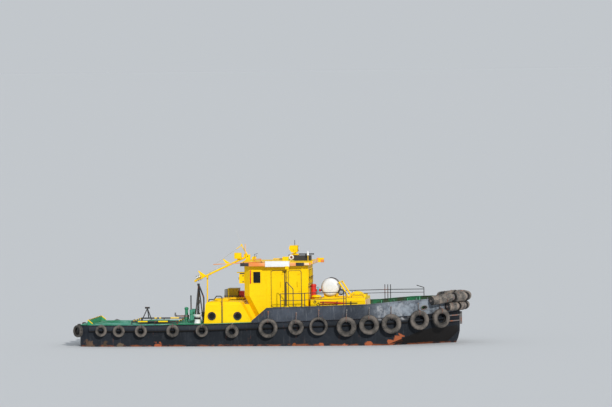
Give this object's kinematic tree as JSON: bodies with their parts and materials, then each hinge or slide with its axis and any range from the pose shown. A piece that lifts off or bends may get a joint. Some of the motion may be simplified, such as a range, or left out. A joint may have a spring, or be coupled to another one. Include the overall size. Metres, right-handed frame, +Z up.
{
  "type": "harbour tugboat",
  "caption": "Small harbour tug with a low aft deck, a forward wheelhouse, a folding mast, tyre fenders all round, a towing hook, one screw and a rudder.",
  "frame": {"origin": "amidships on the centreline, at the waterline", "axes": "+X to the bow, +Y to port, +Z up"},
  "size_m": [19.905, 5.7092, 7.6555],
  "materials": {
    "hull_paint": "worn matt",
    "deck_paint": "worn matt",
    "yellow_paint": "semi-gloss",
    "grey_paint": "matt",
    "red_paint": "semi-gloss",
    "guard_paint": "matt",
    "white_gloss": "gloss",
    "black_steel": "matt",
    "worn_steel": "rusty",
    "machinery": "matt",
    "bronze": "dull",
    "tyre": "worn",
    "fender_rubber": "worn",
    "glass": "clear"
  },
  "bodies": {
    "boat": {"hull": "hull_paint", "deck": "deck_paint", "keel": "hull_paint", "engine": "machinery", "bulwark": "hull_paint", "stern_bulwark": "hull_paint", "fenders_starboard": "tyre", "bow_tyres_starboard": "tyre", "fenders_port": "tyre", "bow_tyres_port": "tyre", "fenders_stern": "tyre", "bow_fender_upper": "fender_rubber", "bow_fender_lower": "fender_rubber", "bow_belts": "worn_steel", "wheelhouse_starboard": "yellow_paint", "wheelhouse_port": "yellow_paint", "wheelhouse_front": "yellow_paint", "wheelhouse_aft": "yellow_paint", "wheelhouse_floor": "grey_paint", "glass_front": "glass", "glass_aft": "glass", "glass_starboard": "glass", "glass_port": "glass", "helm_console": "grey_paint", "roof": "yellow_paint", "roof_guard_starboard": "guard_paint", "roof_guard_port": "guard_paint", "radar_base": "black_steel", "aft_cabin": "yellow_paint", "casing": "yellow_paint", "vent_casing": "yellow_paint", "fire_box": "red_paint", "mast_crutch": "yellow_paint", "fore_trunk": "yellow_paint", "life_raft": "white_gloss", "raft_cradle": "yellow_paint", "hydrant": "red_paint", "trunk_vent": "yellow_paint", "rail_starboard": "black_steel", "rail_port": "black_steel", "bow_bitt": "black_steel", "tow_bitt": "deck_paint", "bollard_starboard": "grey_paint", "bollard_port": "grey_paint", "aft_frame": "yellow_paint", "gallows": "black_steel"},
    "propeller": {"propeller": "bronze"},
    "rudder": {"rudder": "hull_paint"},
    "mast": {"mast": "yellow_paint"},
    "door_starboard_fore": {"door_starboard_fore": "yellow_paint"},
    "door_starboard_aft": {"door_starboard_aft": "yellow_paint"},
    "door_port_fore": {"door_port_fore": "yellow_paint"},
    "door_port_aft": {"door_port_aft": "yellow_paint"},
    "fore_hatch": {"fore_hatch_lid": "yellow_paint"},
    "cabin_hatch": {"cabin_hatch_lid": "yellow_paint"},
    "aft_hatch": {"aft_hatch_lid": "deck_paint"},
    "radar": {"radar_scanner": "black_steel"},
    "searchlight": {"searchlight": "yellow_paint"},
    "helm": {"helm_wheel": "black_steel"},
    "tow_hook": {"tow_hook": "worn_steel"}
  },
  "joints": [
    {"name": "propeller_spin", "type": "hinge", "parent": "boat", "child": "propeller", "pos_m": [-8.42, 0, -1.08], "axis": [1, 0, 0], "continuous": true},
    {"name": "rudder_turn", "type": "hinge", "parent": "boat", "child": "rudder", "pos_m": [-9.06, 0, -1.1], "axis": [0, 0, 1], "range_deg": [-35, 35]},
    {"name": "mast_fold", "type": "hinge", "parent": "boat", "child": "mast", "pos_m": [-1.39, 0, 4.42], "axis": [0, 1, 0], "range_deg": [0, 114]},
    {"name": "door_starboard_fore_swing", "type": "hinge", "parent": "boat", "child": "door_starboard_fore", "pos_m": [0.79, -1.3, 2.8], "axis": [0, 0, -1], "range_deg": [0, 110]},
    {"name": "door_starboard_aft_swing", "type": "hinge", "parent": "boat", "child": "door_starboard_aft", "pos_m": [-0.08, -1.3, 2.8], "axis": [0, 0, -1], "range_deg": [0, 110]},
    {"name": "door_port_fore_swing", "type": "hinge", "parent": "boat", "child": "door_port_fore", "pos_m": [0.79, 1.3, 2.8], "axis": [0, 0, 1], "range_deg": [0, 110]},
    {"name": "door_port_aft_swing", "type": "hinge", "parent": "boat", "child": "door_port_aft", "pos_m": [-0.08, 1.3, 2.8], "axis": [0, 0, 1], "range_deg": [0, 110]},
    {"name": "fore_hatch_open", "type": "hinge", "parent": "boat", "child": "fore_hatch", "pos_m": [4.46, 0, 2.467], "axis": [0, 1, 0], "range_deg": [0, 110]},
    {"name": "cabin_hatch_open", "type": "hinge", "parent": "boat", "child": "cabin_hatch", "pos_m": [-2.6, -0.44, 2.276], "axis": [-1, 0, 0], "range_deg": [0, 100]},
    {"name": "aft_hatch_open", "type": "hinge", "parent": "boat", "child": "aft_hatch", "pos_m": [-5.495, 0, 1.173], "axis": [0, 1, 0], "range_deg": [0, 100]},
    {"name": "radar_spin", "type": "hinge", "parent": "boat", "child": "radar", "pos_m": [1.64, -0.45, 4.45], "axis": [0, 0, 1], "continuous": true},
    {"name": "searchlight_pan", "type": "hinge", "parent": "boat", "child": "searchlight", "pos_m": [0.95, 0.35, 4.71], "axis": [0, 0, 1], "range_deg": [-170, 170]},
    {"name": "helm_turn", "type": "hinge", "parent": "boat", "child": "helm", "pos_m": [1.2, 0, 2.56], "axis": [1, 0, 0], "range_deg": [-540, 540]},
    {"name": "tow_hook_swing", "type": "hinge", "parent": "boat", "child": "tow_hook", "pos_m": [-4.56, 0, 1.348], "axis": [0, 0, 1], "range_deg": [-75, 75]}
  ]
}
